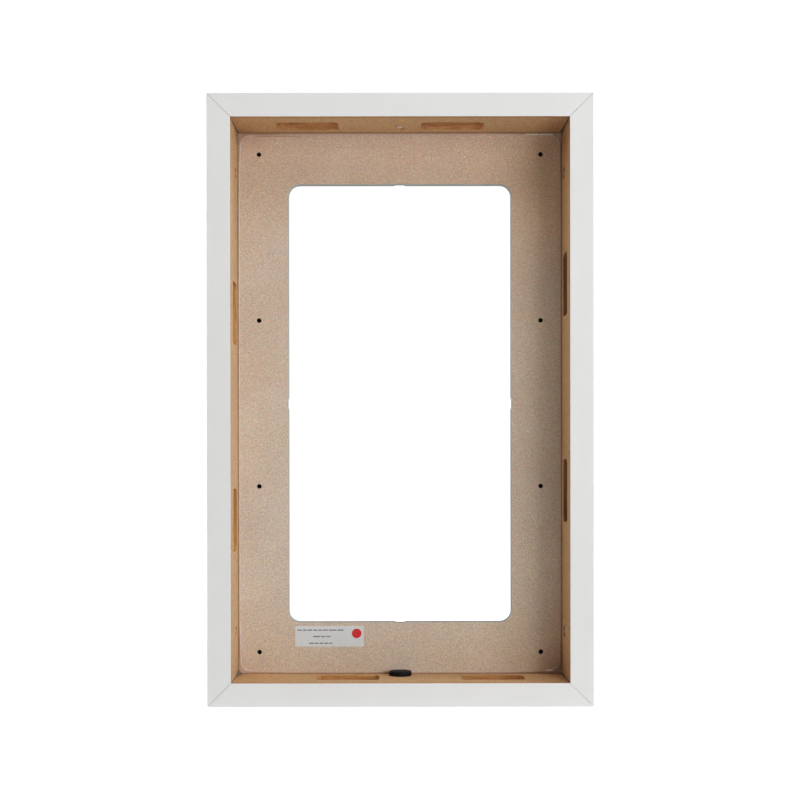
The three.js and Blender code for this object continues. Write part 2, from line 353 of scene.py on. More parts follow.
def white_foil():
    """Satin white foil: an even colour, a faint orange-peel texture and uneven sheen."""
    finish = Finish("white_foil")
    place = finish.place()
    cloud = finish.remap(finish.noise(place, 14, 3), 0.3, 0.7)
    finish.set("Base Color", finish.mix(cloud, shade(221, 221, 220), shade(223, 223, 222)))
    finish.set("Roughness", finish.remap(finish.noise(place, 60, 3), 0.3, 0.7, 0.42, 0.5))
    finish.bump(finish.noise(place, 1100, 2), 0.01 * MM, 0.5)
    return finish.material


def fibreboard(
    name, pale, dark, attribute=GRAIN, streak=2.5, fleck=0.26, banded_and_shaded=False, tint=(1, 1, 1)
):
    """Raw fibreboard: pressed fibres, streak times as long as wide, flecks and soft stains.
    With its flag for bands set, it is browner beside its front edge, darker beside its rear edge as
    painted shade where it meets the panel, and darker in the frame's right-hand corners as painted
    shade."""
    finish = Finish(name)
    along = finish.place((1 / streak, 1, 1), attribute)
    even = finish.place(attribute=attribute)
    bands = finish.noise(along, 220, 3, 0.6)
    fibres = finish.noise(along, 1400, 3, 0.7)
    flecks = finish.noise(even, 1100, 2, 0.8)
    stains = finish.noise(even, 9, 3)
    colour = finish.mix(finish.remap(bands, 0.2, 0.8, 0.3, 0.7), dark, pale)
    colour = finish.mix(finish.remap(fibres, 0.42, 0.7, 0, 0.8), colour, tuple(c * 1.25 for c in pale))
    colour = finish.mix(finish.remap(flecks, 0.5, 0.7, 0, 0.7), colour, tuple(c * 0.62 for c in dark))
    colour = finish.mix(finish.remap(stains, 0.4, 0.75, 0, 0.2), colour, tuple(c * 0.85 for c in dark))
    colour = finish.speckle(colour, finish.place((0.8, 0.5, 0.8), attribute), 1000, fleck)
    if banded_and_shaded:
        depth = finish.axis(even, "Y")
        front = finish.remap(depth, FRONT_Y + FACING, FRONT_Y + 11 * MM, 0.8, 0)
        # painted shade: darker beside the rear edge, where the board meets the panel
        rear = finish.remap(depth, SHOULDER_Y - 4 * MM, SHOULDER_Y - 1 * MM, 0, 0.45)
        rear = finish.math("MULTIPLY", rear, finish.remap(depth, SHOULDER_Y, SHOULDER_Y + 1 * MM, 1, 0))
        colour = finish.mix(front, colour, shade(182, 126, 70))
        colour = finish.mix(rear, colour, shade(158, 96, 48))
        # painted shade: darker in the frame's right-hand corners, next to the panel
        inside = finish.remap(depth, SHOULDER_Y - 1 * MM, SHOULDER_Y, 1, 0)
        corner_shade = finish.math("MULTIPLY", inside, finish.corners(140 * MM, 180 * MM, 250 * MM))
        colour = finish.wash(colour, corner_shade, (0.82, 0.78, 0.76))
    finish.set("Base Color", finish.wash(colour, 1.0, tint))
    finish.set("Roughness", finish.remap(fibres, 0.3, 0.7, 0.78, 0.95))
    finish.bump(finish.math("ADD", fibres, flecks), 0.06 * MM, 0.6)
    return finish.material


def routed_board(name, tint):
    """The floor and walls of a routed pocket: torn fibres with the cutter's fine steps, darker and more
    orange than the face (part own colour, part painted bounce light), with painted shade in corners."""
    finish = Finish(name, roughness=0.95)
    even = finish.place(attribute=GRAIN)
    torn = finish.noise(even, 700, 4, 0.75)
    steps = finish.noise(finish.place((0.08, 1, 1), GRAIN), 620, 2)
    # darker, more orange colour: partly torn fibres, partly painted bounce light inside the pocket
    colour = finish.mix(finish.remap(torn, 0.35, 0.65), shade(166, 112, 62), shade(200, 147, 92))
    colour = finish.mix(finish.remap(steps, 0.42, 0.62, 0, 0.55), colour, shade(142, 86, 42))
    # painted shade: ambient occlusion darkens the pocket's enclosed corners and creases
    openness = finish.add("AmbientOcclusion", "AO", {"Distance": 4 * MM}, only_local=True)
    colour = finish.mix(finish.remap(openness, 0.35, 0.85, 0.55, 0), colour, shade(104, 58, 28))
    finish.set("Base Color", finish.wash(colour, 1.0, tint))
    finish.bump(finish.math("ADD", torn, steps), 0.12 * MM, 0.6)
    return finish.material


def shaded_hole_wall():
    """The wall of a drilled hole: near black as painted shade deep in the narrow hole, with a mottle.
    """
    finish = Finish("shaded_hole_wall", roughness=0.9)
    hole_mottle = finish.noise(finish.place(), 900, 3, 0.7)
    # painted shade: near-black colour for the shade deep in a narrow hole
    finish.set("Base Color", finish.mix(hole_mottle, shade(12, 9, 7), shade(40, 28, 20)))
    finish.bump(hole_mottle, 0.15 * MM, 0.7)
    return finish.material


def panel_face():
    """The panel's sanded face: pinkish beige, a mottle of short fibres, greyer patches, painted shade
    and light.
    """
    finish = Finish("panel_face")
    place = finish.place()
    mottle = finish.noise(place, 1000, 3, 0.65)
    grit = finish.noise(place, 1700, 2, 0.7)
    patches = finish.noise(place, 22, 4, 0.55)
    warmth = finish.noise(place, 5, 2)
    colour = finish.mix(finish.remap(mottle, 0.3, 0.7), shade(180, 155, 134), shade(226, 207, 187))
    colour = finish.mix(finish.remap(grit, 0.5, 0.7, 0, 0.5), colour, shade(158, 128, 104))
    colour = finish.mix(finish.remap(patches, 0.42, 0.68, 0, 0.3), colour, shade(212, 194, 178))
    colour = finish.mix(finish.remap(warmth, 0.4, 0.7, 0, 0.3), colour, shade(198, 164, 136))
    colour = finish.speckle(colour, place, 950, 0.24)
    height, across = finish.axis(place, "Z"), finish.axis(place, "X")
    top = finish.remap(height, MIDDLE_Z + 120 * MM, MIDDLE_Z + 270 * MM)
    bottom = finish.remap(height, MIDDLE_Z - 290 * MM, MIDDLE_Z - 200 * MM, 0.6, 0)
    right = finish.remap(across, 20 * MM, 160 * MM)
    light_under_top = finish.remap(height, MIDDLE_Z + 284 * MM, MIDDLE_Z + 298 * MM)
    colour = finish.wash(colour, 1.0, (0.96, 1.03, 1.08))
    # painted shade and bounce light: browner towards the top, where the top board shades the panel
    colour = finish.wash(colour, top, (1.05, 0.94, 0.86))
    # painted light: lighter just under the top board, lifting the shade there
    colour = finish.wash(colour, light_under_top, (1.1, 1.13, 1.2))
    # painted shade and bounce light: browner towards the bottom and the right, and darker in the
    # corners
    colour = finish.wash(colour, bottom, (1.0, 0.94, 0.87))
    colour = finish.wash(colour, right, (1.01, 0.98, 0.92))
    colour = finish.wash(colour, finish.corners(130 * MM, 175 * MM, 262 * MM), (0.86, 0.79, 0.75))
    colour = finish.wash(colour, finish.corners(-130 * MM, -175 * MM, 262 * MM), (0.95, 0.91, 0.86))
    finish.set("Base Color", colour)
    finish.set("Roughness", finish.remap(mottle, 0.3, 0.7, 0.82, 0.95))
    finish.bump(finish.math("ADD", mottle, grit), 0.05 * MM, 0.6)
    return finish.material


def panel_margin():
    """The strip round the raised middle: browner than the face, as painted shade in the seam beside
    the boards, and greyer towards the right.
    """
    finish = Finish("panel_margin", roughness=0.9)
    place = finish.place()
    fibres = finish.remap(finish.noise(place, 800, 3, 0.65), 0.3, 0.7)
    # painted shade: darker and browner than the face, where the boards meet the panel
    colour = finish.mix(fibres, shade(176, 145, 122), shade(203, 174, 151))
    right = finish.remap(finish.axis(place, "X"), 60 * MM, 175 * MM)
    colour = finish.wash(colour, right, (0.92, 0.98, 1.06))
    finish.set("Base Color", colour)
    finish.bump(fibres, 0.05 * MM, 0.6)
    return finish.material


def painted_edge():
    """Greyish white primer on the cut-out's edge, with the board's roughness showing through."""
    finish = Finish("painted_edge", roughness=0.6)
    grain = finish.noise(finish.place(), 800, 3, 0.6)
    tone = finish.remap(grain, 0.3, 0.7)
    finish.set("Base Color", finish.mix(tone, shade(162, 167, 165), shade(182, 186, 184)))
    finish.bump(grain, 0.08 * MM, 0.6)
    return finish.material


def worn_arris():
    """The raised middle's rounded edge: rubbed pale along the left side and faint elsewhere."""
    finish = Finish("worn_arris", roughness=0.75)
    place = finish.place()
    worn = finish.remap(finish.noise(place, 120, 4, 0.7), 0.3, 0.6, 0.3, 1)
    left = finish.remap(finish.axis(place, "X"), -175 * MM, -150 * MM, 1, 0.15)
    pale = finish.math("MULTIPLY", worn, left)
    finish.set("Base Color", finish.mix(pale, shade(204, 182, 162), shade(218, 212, 216)))
    finish.bump(finish.noise(place, 900, 3), 0.1 * MM, 0.6)
    return finish.material


def zinc_steel():
    """Zinc-plated steel, with fine turning marks and cloudy sheen."""
    finish = Finish("zinc_steel", metallic=0.6)
    place = finish.place()
    cloud = finish.noise(place, 500, 2)
    finish.set("Base Color", finish.mix(cloud, shade(206, 218, 224), shade(236, 242, 244)))
    finish.set("Roughness", finish.remap(finish.noise(place, 1600, 3), 0.3, 0.7, 0.4, 0.6))
    finish.bump(finish.noise(place, 4000, 2), 0.01 * MM, 0.5)
    return finish.material


def black_rubber():
    """Matt black rubber with a dusty bloom and a fine moulded grain."""
    finish = Finish("black_rubber", specular_ior_level=0.16)
    place = finish.place()
    dust = finish.remap(finish.noise(place, 260, 4, 0.65), 0.5, 0.8, 0, 0.35)
    finish.set("Base Color", finish.mix(dust, shade(7, 9, 11), shade(17, 19, 19)))
    finish.set("Roughness", finish.remap(finish.noise(place, 700, 3), 0.3, 0.7, 0.5, 0.75))
    finish.bump(finish.noise(place, 2600, 2), 0.03 * MM, 0.5)
    return finish.material


def hot_glue(name, thin, thick, roughness, edge=None):
    """Hot-melt glue that has taken up dust: uneven in colour, with a dull skin. Where the mesh says
    that it is thin, the colour edge shows through, if one is given."""
    finish = Finish(name, coat_weight=0.25, coat_roughness=0.3)
    place = finish.place()
    cloud = finish.remap(finish.noise(place, 160, 4, 0.6), 0.35, 0.65)
    colour = finish.mix(cloud, thick, thin)
    if edge:
        depth = finish.add("Attribute", "Fac", {}, attribute_name=THICKNESS)
        colour = finish.mix(finish.remap(depth, 0.05, 0.6), edge, colour)
    finish.set("Base Color", colour)
    finish.set("Roughness", finish.remap(cloud, 0, 1, roughness, roughness + 0.2))
    finish.bump(finish.noise(place, 420, 3), 0.3 * MM, 0.6)
    return finish.material


def label_paper():
    """Uncoated white paper with faint fibres."""
    finish = Finish("label_paper", roughness=0.6)
    place = finish.place()
    fibre = finish.noise(finish.place((0.2, 1, 1)), 1800, 3)
    tone = finish.remap(fibre, 0.3, 0.7)
    finish.set("Base Color", finish.mix(tone, shade(202, 207, 210), shade(212, 217, 219)))
    finish.bump(finish.noise(place, 1500, 2), 0.01 * MM, 0.5)
    return finish.material


def ink(name, colour, paler):
    """Printed ink, a little uneven where the paper shows through."""
    finish = Finish(name, roughness=0.5)
    worn = finish.remap(finish.noise(finish.place(), 1400, 3, 0.7), 0.35, 0.7, 0, 0.5)
    finish.set("Base Color", finish.mix(worn, colour, paler))
    return finish.material


def beech():
    """Beech dowel with grain along its length."""
    finish = Finish("beech", roughness=0.7)
    grain = finish.noise(finish.place((1, 0.15, 1)), 700, 4, 0.6)
    finish.set("Base Color", finish.mix(grain, shade(176, 132, 88), shade(214, 178, 134)))
    finish.bump(grain, 0.05 * MM, 0.5)
    return finish.material


WHITE_FOIL = white_foil()
# partly each board's own tone and partly painted light: the left board is cooler where the light from
# the right falls on it
BOARD_TONE_AND_LIGHT = {  # multiplies the colour of each board
    "bottom": (0.99, 0.98, 0.98),
    "left": (0.94, 1.01, 1.09),
    "top": (0.98, 0.95, 0.97),
    "right": (0.99, 0.97, 0.95),
}
# painted light and shade: each side's pockets and holes are lighter or darker as light falls there,
# lightest on the top board and darkest on the right
ROUTED_SIDE_LIGHT = {  # the same for its pockets and holes
    "bottom": (1.1, 1.16, 1.16),
    "left": (1.05, 1.13, 1.02),
    "top": (1.36, 1.54, 1.9),
    "right": (0.64, 0.69, 0.87),
}
BOARD_PALE, BOARD_DARK = shade(207, 170, 125), shade(192, 151, 105)
BOARD_FACES = {
    side: fibreboard("board_face_" + side, BOARD_PALE, BOARD_DARK, banded_and_shaded=True, tint=tint)
    for side, tint in BOARD_TONE_AND_LIGHT.items()
}
ROUTED = {side: routed_board("routed_board_" + side, tint) for side, tint in ROUTED_SIDE_LIGHT.items()}
BACK_PALE, BACK_DARK = shade(206, 182, 152), shade(190, 163, 131)
PANEL_BACK = fibreboard("panel_back", BACK_PALE, BACK_DARK, attribute=None, streak=1.0, fleck=0.14)
PANEL_FACE = panel_face()
PANEL_MARGIN = panel_margin()
HOLE_SHADE = shaded_hole_wall()
PAINTED_EDGE = painted_edge()
WORN_ARRIS = worn_arris()
ZINC_STEEL = zinc_steel()
BLACK_RUBBER = black_rubber()
CLEAR_EDGE = shade(176, 132, 92)
CLEAR_GLUE = hot_glue("clear_glue", shade(118, 96, 76), shade(84, 68, 56), 0.5, edge=CLEAR_EDGE)
BROWN_GLUE = hot_glue("brown_glue", shade(110, 84, 64), shade(70, 54, 42), 0.5)
DARK_GLUE = hot_glue("dark_glue", shade(70, 60, 52), shade(30, 26, 22), 0.5)
PALE_GLUE = hot_glue("pale_glue", shade(246, 240, 232), shade(226, 214, 200), 0.35)
AMBER_GLUE = hot_glue("amber_glue", shade(196, 144, 104), shade(170, 116, 78), 0.5)
LABEL_PAPER = label_paper()
GREY_INK = ink("grey_ink", shade(104, 106, 110), shade(160, 162, 164))
RED_INK = ink("red_ink", shade(200, 12, 24), shade(206, 32, 40))
BEECH = beech()


# ---- Boards and facings -----------------------------------------------------------------------
def facing_section():
    """The white facing in (y, z): a leg over the front face and a leg over the outer side."""
    return rounded_polygon(
        [
            (FRONT_Y, 0, 0.35 * MM),
            (WALL_Y, 0, 0.35 * MM),
            (WALL_Y, FACING, 0.2 * MM),
            (FRONT_Y + FACING, FACING, 0),
            (FRONT_Y + FACING, BOARD, 0.1 * MM),
            (FRONT_Y, BOARD, 0.3 * MM),
        ]
    )


def board_section():
    """The fibreboard behind the facing in (y, z), with the rebate for the panel at its back."""
    front, outer = FRONT_Y + FACING, FACING
    return rounded_polygon(
        [
            (front, outer, 0),
            (WALL_Y, outer, 0.3 * MM),
            (WALL_Y, BOARD - REBATE, 0.3 * MM),
            (SHOULDER_Y, BOARD - REBATE, 0),
            (SHOULDER_Y, BOARD, 0.3 * MM),
            (front, BOARD, 0.2 * MM),
        ],
        steps=3,
    )


def pocket_cutter(middle, size, material):
    """A routed pocket in a board that lies flat: round corners, a coved floor and a broken mouth."""
    floor, mouth = BOARD - POCKET_DEPTH, BOARD
    cove, chamfer = 0.9 * MM, 0.35 * MM
    levels = [
        (floor, -cove),
        (floor + 0.3 * cove, -0.3 * cove),
        (floor + cove, 0),
        (mouth - chamfer, 0),
        (mouth, chamfer),
        (mouth + OVERCUT, chamfer + OVERCUT),
    ]
    rings = []
    for z, grow in levels:
        outline = rectangle(size.x + 2 * grow, size.y + 2 * grow, POCKET_RADIUS + grow, steps=10)
        rings.append([Vector((middle.x + u, middle.y + v, z)) for u, v in outline])
    return new_piece("cutter", ring_solid(rings), material)


def bore_cutter(x, y, profile, material):
    """A round hole across a board that lies flat, from (radius, height) points."""
    cutter = new_piece("cutter", lathe(profile), material)
    cutter.data.transform(Matrix.Translation((x, y, 0)))
    return cutter


def board_pockets(side):
    """The pockets of one board, as (middle, size) in the lying board's coordinates."""
    to_board = side_matrix(side).inverted()
    found = []
    for opening in POCKETS:
        if not opening["name"].startswith("pocket_" + side):
            continue
        low, high = (to_board @ Vector(corner) for corner in opening["box_m"])
        size = Vector([abs(c) for c in high - low]) + Vector((2, 2, 0)) * POCKET_INSET
        found.append((middle_of(low, high), size))
    return found


def board_screws(side):
    """Screw nodes of one board, with each screw's place in the lying board's coordinates."""
    to_board = side_matrix(side).inverted()
    names = [name for name in frame["nodes"] if name.startswith("board_screw_" + side)]
    return {name: to_board @ middle_of(*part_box(name)) for name in sorted(names)}


def plug_hole(side):
    """The cable plug's hole through the bottom board and its facing."""
    plug = middle_of(*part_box("cable_plug"))
    profile = [(PLUG_HOLE_RADIUS, -OVERCUT), (PLUG_HOLE_RADIUS, BOARD + OVERCUT)]
    return bore_cutter(plug.x, plug.y, profile, ROUTED[side])


def counterbore_profile():
    """A screw's shank hole, and above it the counterbore with a broken mouth."""
    radius, depth = COUNTERBORE
    seat, flare = BOARD - depth, 0.3 * MM
    return [
        (SHANK_HOLE_RADIUS, SHANK_HOLE_END),
        (SHANK_HOLE_RADIUS, seat),
        (radius, seat),
        (radius, BOARD - 0.2 * MM),
        (radius + flare, BOARD),
        (radius + flare + OVERCUT, BOARD + OVERCUT),
    ]


def add_board(side):
    """One fibreboard rail, with its pockets, screw holes and, at the bottom, the plug's hole."""
    length = SIDES[side][1]
    board = new_piece("board_" + side, swept_board(board_section(), length), BOARD_FACES[side])
    cutters = [pocket_cutter(*pocket, ROUTED[side]) for pocket in board_pockets(side)]
    for place in board_screws(side).values():
        cutters.append(bore_cutter(place.x, place.y, counterbore_profile(), ROUTED[side]))
    if side == "bottom":
        cutters.append(plug_hole(side))
    carve(board, cutters)
    write_grain(board, offset=length * len(side))
    board.data.transform(side_matrix(side))
    return stand_in(board, "board", "rail_" + side)


def write_grain(board, offset):
    """Keeps each point's place in the lying board, moved by offset so that no two boards match."""
    grain = board.data.attributes.new(GRAIN, "FLOAT_VECTOR", "POINT")
    for vertex, value in zip(board.data.vertices, grain.data):
        value.vector = vertex.co + Vector((offset, 0, offset))


def add_facing(side):
    """One white facing. The bottom one has the plug's hole too."""
    length = SIDES[side][1]
    facing = new_piece("white_facing_" + side, swept_board(facing_section(), length), WHITE_FOIL)
    if side == "bottom":
        carve(facing, [plug_hole(side)])
    facing.data.transform(side_matrix(side))
    return stand_in(facing, "white_facing", "facing_" + side)


# ---- Screws in the boards ---------------------------------------------------------------------
def cross_outline(arm, width):
    """A cross with four arms, each arm long and reaching width to either side of its middle."""
    corners = []
    for quarter in range(4):
        turn = Matrix.Rotation(quarter * math.pi / 2, 2)
        for point in ((arm, -width), (arm, width), (width, width)):
            corners.append(turn @ Vector(point))
    return corners


def add_screw(name, place, side):
    """A pan-head screw with a cross recess, standing along z at its place in the lying board."""
    seat = BOARD - COUNTERBORE[1]
    shank = [(0.3, -11), (1.1, -9), (1.5, -8), (1.5, 0)]  # (radius, height above the seat) in mm
    head = [(3.4, 0), (3.7, 0.3), (3.7, 1.3), (3.5, 1.9), (2.9, 2.3), (1.9, 2.54), (0.6, 2.6)]
    shape = lathe([(radius * MM, seat + height * MM) for radius, height in shank + head], 40)
    screw = new_piece(name + "_detailed", shape, ZINC_STEEL, sharp=50)
    recess = [(0.9, 0.18, 0.9), (1.6, 0.32, 2.8)]  # (arm, width, height above the seat) in mm
    rings = [
        level_ring(cross_outline(arm * MM, width * MM), seat + height * MM)
        for arm, width, height in recess
    ]
    carve(screw, [new_piece("cutter", ring_solid(rings), ZINC_STEEL)], sharp=50)
    screw.data.transform(side_matrix(side) @ Matrix.Translation((place.x, place.y, 0)))
    return stand_in(screw, "steel", name)


# ---- Back panel -------------------------------------------------------------------------------
def add_back_panel():
    """Rings from the plate's back round its rim, over the raised middle and through the cut-out."""
    plate = (PLATE_HIGH.x - PLATE_LOW.x, PLATE_HIGH.z - PLATE_LOW.z)
    field = (WIDTH - 2 * (BOARD + FIELD_REVEAL), HEIGHT - 2 * (BOARD + FIELD_REVEAL))
    opening = (WIDTH - 2 * (BOARD + PANEL_GAP), HEIGHT - 2 * (BOARD + PANEL_GAP))
    arris, turns = 1.0 * MM, 6  # width of the raised middle's rounded edge, and faces across it
    edge = 0.5 * MM  # width of the other rounded edges
    step_y = FIELD_Y + FIELD_STEP
    cut_width, cut_height, cut_radius = CUTOUT
    finishes = (PANEL_FACE, PANEL_BACK, WORN_ARRIS, PAINTED_EDGE, PANEL_MARGIN)
    on_face, on_back, on_arris, on_edge, on_margin = range(len(finishes))

    def ring(size, radius, y, depth=0.0, lean=0.0):
        outline = rectangle(*size, radius, (NOTCH[0], depth), lean, marked=True, steps=10)
        return [Vector((u, y, MIDDLE_Z + v)) for u, v in outline]

    def cut_ring(grow, y):
        size = (cut_width + 2 * grow, cut_height + 2 * grow)
        return ring(size, cut_radius + grow, y, NOTCH[1])

    rim = (plate[0] - 2 * edge, plate[1] - 2 * edge)
    plate_radius, opening_radius = 1 * MM, 0.3 * MM
    rings = [ring(rim, plate_radius - edge, WALL_Y), ring(plate, plate_radius, WALL_Y - edge)]
    rings += [ring(plate, plate_radius, SHOULDER_Y), ring(opening, opening_radius, SHOULDER_Y)]
    rings.append(ring(opening, opening_radius, step_y))
    tints = [on_back, on_back, on_face, on_face, on_margin]
    for step in range(turns + 1):
        angle = math.pi / 2 * step / turns
        inset = arris * (1 - math.cos(angle))
        size = (field[0] - 2 * inset, field[1] - 2 * inset)
        y = step_y + (FIELD_Y - step_y) * math.sin(angle)
        rings.append(ring(size, FIELD_RADIUS - inset, y, lean=FIELD_LEAN))
        tints.append(on_arris)
    tints[-1] = on_face
    rings += [cut_ring(edge, FIELD_Y), cut_ring(0.3 * edge, FIELD_Y + 0.3 * edge)]
    rings += [cut_ring(0, FIELD_Y + edge), cut_ring(0, WALL_Y - edge), cut_ring(edge, WALL_Y)]
    tints += [on_edge, on_edge, on_edge, on_edge, on_back]
    shape = ring_solid(rings, closed=True, tints=tints)
    panel = new_piece("panel_with_cutout", shape, *finishes)
    carve(panel, [pilot_cutter(x, z) for x in HOLE_COLUMNS for z in HOLE_ROWS])
    return stand_in(panel, "panel", "back_panel")


def pilot_cutter(x, z):
    """A drilled hole along +Y, with a cone at its floor and a slightly torn mouth."""
    mouth, floor, tear = FIELD_Y, HOLE_FLOOR_Y, 0.3 * MM
    profile = [
        (HOLE_RADIUS + tear + OVERCUT, mouth - OVERCUT),
        (HOLE_RADIUS + tear, mouth),
        (HOLE_RADIUS, mouth + 0.4 * MM),
        (HOLE_RADIUS, floor - 1.2 * MM),
        (0.2 * MM, floor),
    ]
    cutter = new_piece("cutter", lathe(profile, 32), HOLE_SHADE)
    cutter.data.transform(Matrix.Translation((x, 0, z)) @ Matrix.Rotation(-math.pi / 2, 4, "X"))
    return cutter


# ---- Cable plug -------------------------------------------------------------------------------
def add_cable_plug():
    """A moulded rubber plug: a domed cap with a bead round its edge, and a ribbed hollow stem."""
    low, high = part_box("cable_plug")
    middle = middle_of(low, high)
    # Each point is (radius, height above the board's inner face) in mm.
    hollow = [(0.4, -2), (5.4, -2), (6.0, -2.6), (6.0, -19.4)]
    stem = [(6.6, -19.9), (7.6, -19.4), (7.9, -18.6), (7.6, -17.2), (7.6, -13.2), (8.0, -12.2)]
    stem += [(7.6, -11), (7.6, -7), (8.0, -6), (7.6, -4.8), (7.6, 0.1)]
    cap = [(12.1, 0.1), (12.4, 0.25), (12.5, 0.6), (12.5, 3.9), (12.4, 4.4), (12.1, 4.75)]
    cap += [(11.6, 4.9), (9.8, 4.94), (9.4, 4.78), (9.0, 4.94), (6, 4.97), (3, 4.99), (0.4, 5.0)]
    profile = [(radius * MM, BOARD + height * MM) for radius, height in hollow + stem + cap]
    plug = new_piece("rubber_cable_plug", lathe(profile, 96), BLACK_RUBBER, sharp=60)
    plug.data.transform(Matrix.Translation((middle.x, middle.y, 0)))
    return stand_in(plug, "plug_rubber", "cable_plug", body="plug")


# ---- Label ------------------------------------------------------------------------------------
# Places on the label are in mm, to the right of its left end and down from its top.
BAR_ROWS = [(2.5, 54, 4.6), (20, 39, 11.8), (15.5, 41.5, 19.3)]  # left end, right end, drop
BAR_LENGTHS = (3.5, 9)  # shortest and longest, before a row's end cuts the last one short
BAR_GAP, SHORTEST_REST = 1.1, 2
BAR_HEIGHT = 1.4
DOT_PLACE, DOT_RADIUS = (68.6, 8.3), 5.4


def flat_strip(middle_x, middle_z, width, height, radius, back, thickness):
    """A thin upright sheet with round corners, which stands out from back towards the front."""
    outline = rectangle(width, height, radius, steps=5)
    placed = [Vector((middle_x + u, middle_z + v)) for u, v in outline]
    return ring_solid([upright_ring(placed, back), upright_ring(placed, back - thickness)])


def add_label():
    """A paper label with rows of plain grey bars and a plain red dot."""
    low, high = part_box("label")
    middle = middle_of(low, high)
    size = high - low
    face = FIELD_Y - LABEL_THICKNESS
    sheet = flat_strip(middle.x, middle.z, size.x, size.z, 0.8 * MM, FIELD_Y, LABEL_THICKNESS)
    stand_in(new_piece("label_paper", sheet, LABEL_PAPER), "label", "label")

    bars = bmesh.new()
    pick = random.Random(4)
    for left, right, drop in BAR_ROWS:
        x = left
        while x < right - SHORTEST_REST:
            length = min(pick.uniform(*BAR_LENGTHS), right - x)
            place = (low.x + (x + length / 2) * MM, high.z - drop * MM)
            bar_size = (length * MM, BAR_HEIGHT * MM)
            append_mesh(bars, flat_strip(*place, *bar_size, 0.2 * MM, face, INK_THICKNESS))
            x += length + BAR_GAP
    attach(new_piece("label_bars", bars, GREY_INK), "box")

    centre = Vector((low.x + DOT_PLACE[0] * MM, high.z - DOT_PLACE[1] * MM))
    outline = [centre + point for point in circle(DOT_RADIUS * MM, 48)]
    dot = ring_solid([upright_ring(outline, face), upright_ring(outline, face - INK_THICKNESS)])
    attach(new_piece("label_dot", dot, RED_INK), "box")


def append_mesh(target, addition):
    """Moves the faces of the bmesh addition into the bmesh target."""
    data = bpy.data.meshes.new("part")
    addition.to_mesh(data)
    addition.free()
    target.from_mesh(data)
    bpy.data.meshes.remove(data)


# ---- Glue -------------------------------------------------------------------------------------
GLUE_RING = 10  # points round a fillet's section: the corner, then from one foot to the other
GLUE_RUNS = {  # corner: (setback, leg) in mm, from the panel's plate to the front end
    "bottom_left": [(0, 9.0), (4, 8.0), (12, 5.6), (22, 3.2), (32, 1.2), (70, 0.4)],
    "bottom_right": [(0, 2.0), (6, 1.0), (30, 0.7), (72, 0.4)],
    "top_left": [(0, 2.8), (6, 1.4), (24, 0.9), (70, 0.4)],
    "top_right": [(0, 3.4), (6, 2.2), (20, 1.5), (70, 0.6)],
}
GLUE_COLOURS = {
    "bottom_left": CLEAR_GLUE,
    "bottom_right": DARK_GLUE,
    "top_left": BROWN_GLUE,
    "top_right": DARK_GLUE,
}
GLUE_SMEARS = [  # name, material, (x, z) from the panel's middle and (width, height) in mm, seed
    ("glue_smear_top_right_0", PALE_GLUE, (143, 300), (7, 1.3), 2.0),
    ("glue_smear_top_right_1", PALE_GLUE, (151, 300), (12, 1.3), 3.0),
    ("glue_smear_top_right_2", PALE_GLUE, (161, 300), (8, 1.3), 4.0),
    ("glue_smear_top_right_3", PALE_GLUE, (168.5, 300), (9, 1.3), 5.0),
    ("glue_smear_bottom_right", PALE_GLUE, (166.5, -298.2), (8, 2.0), 7.0),
    ("glue_streak_top_left", AMBER_GLUE, (-135, 298), (54, 0.9), 9.0),
]


def corner_glue(length, sizes, seed):
    """Glue run into a rear corner, in the lying board's coordinates at its right-hand end.
    sizes lists (setback from the panel's plate towards the front, leg of the fillet)."""
    corner = Vector((length / 2 - BOARD, BOARD))
    hidden = 0.05 * MM  # how far the glue reaches into the boards
    hollow = 1.6  # power that makes the fillet's face concave
    rings = []
    steps = 26
    reach = sizes[-1][0]
    for step in range(steps + 1):
        back = reach * step / steps
        leg = leg_at(sizes, back)
        wobble = 1 + 0.22 * noise.noise(Vector((seed, back * 160, 0)))
        y = SHOULDER_Y - back
        ring = [Vector((corner.x + hidden, y, corner.y - hidden))]
        for i in range(GLUE_RING - 1):
            share = i / (GLUE_RING - 2)
            across = leg * wobble * (1 - share) ** hollow
            upward = leg * wobble * share**hollow
            swell = 1 + 0.16 * noise.noise(Vector((seed + 3, back * 260, share * 3)))
            ring.append(Vector((corner.x - across * swell, y, corner.y + upward * swell)))
        rings.append(ring)
    return ring_solid(rings)


def leg_at(sizes, back):
    """The fillet's leg at a setback, between the two nearest sizes."""
    for (start, leg), (end, next_leg) in zip(sizes, sizes[1:]):
        if back <= end:
            share = (back - start) / (end - start)
            return leg + (next_leg - leg) * share
    return sizes[-1][1]


def add_glue(side):
    """The glue in the corner at the right-hand end of one board."""
    _, length, corner = SIDES[side]
    sizes = [(back * MM, leg * MM) for back, leg in GLUE_RUNS[corner]]
    shape = corner_glue(length, sizes, seed=len(corner) * 7.3)
    glue = new_piece("glue_run_" + corner, shape, GLUE_COLOURS[corner])
    depths = glue.data.attributes.new(THICKNESS, "FLOAT", "POINT")
    for i, depth in enumerate(depths.data):
        depth.value = math.sin(math.pi * max(i % GLUE_RING - 1, 0) / (GLUE_RING - 2))
    glue.data.transform(side_matrix(side))
    return stand_in(glue, "glue", "glue_" + corner)


